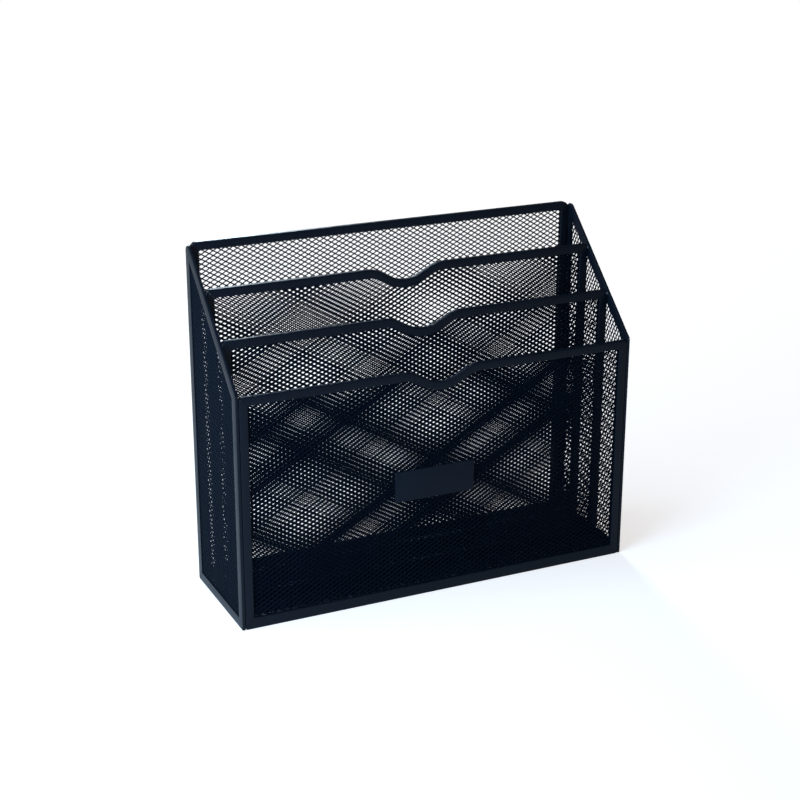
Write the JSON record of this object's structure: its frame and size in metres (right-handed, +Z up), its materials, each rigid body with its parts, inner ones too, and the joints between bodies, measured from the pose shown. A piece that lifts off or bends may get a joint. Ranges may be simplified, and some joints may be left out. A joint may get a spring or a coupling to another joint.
{
  "type": "desktop file holder",
  "caption": "Upright desktop file holder in black mesh: stepped pockets behind a front panel with a finger notch and a blank label plate.",
  "frame": {"origin": "on the table, under the middle of the footprint", "axes": "+X to the right seen from the front, +Y from front to back, +Z up"},
  "size_m": [0.33, 0.101, 0.2757],
  "materials": {
    "coated_rim": "satin navy-black powder coat on folded steel strip",
    "coated_mesh": "satin navy-black powder coat on expanded steel mesh",
    "coated_plate": "satin navy-black powder coat on flat steel sheet"
  },
  "bodies": {
    "root": {"front_mesh": "coated_mesh", "front_rim_bottom": "coated_rim", "front_rim_right": "coated_rim", "front_rim_top": "coated_rim", "front_rim_left": "coated_rim", "back_mesh": "coated_mesh", "back_rim_bottom": "coated_rim", "back_rim_right": "coated_rim", "back_rim_top": "coated_rim", "back_rim_left": "coated_rim", "left_side_mesh": "coated_mesh", "left_side_rim_bottom": "coated_rim", "left_side_rim_back": "coated_rim", "left_side_rim_slope": "coated_rim", "left_side_rim_front": "coated_rim", "right_side_mesh": "coated_mesh", "right_side_rim_bottom": "coated_rim", "right_side_rim_back": "coated_rim", "right_side_rim_slope": "coated_rim", "right_side_rim_front": "coated_rim", "front_divider_mesh": "coated_mesh", "front_divider_rim_bottom": "coated_rim", "front_divider_rim_right": "coated_rim", "front_divider_rim_top": "coated_rim", "front_divider_rim_left": "coated_rim", "rear_divider_mesh": "coated_mesh", "rear_divider_rim_bottom": "coated_rim", "rear_divider_rim_right": "coated_rim", "rear_divider_rim_top": "coated_rim", "rear_divider_rim_left": "coated_rim", "label_plate": "coated_plate", "base_plate": "coated_plate"}
  },
  "joints": []
}
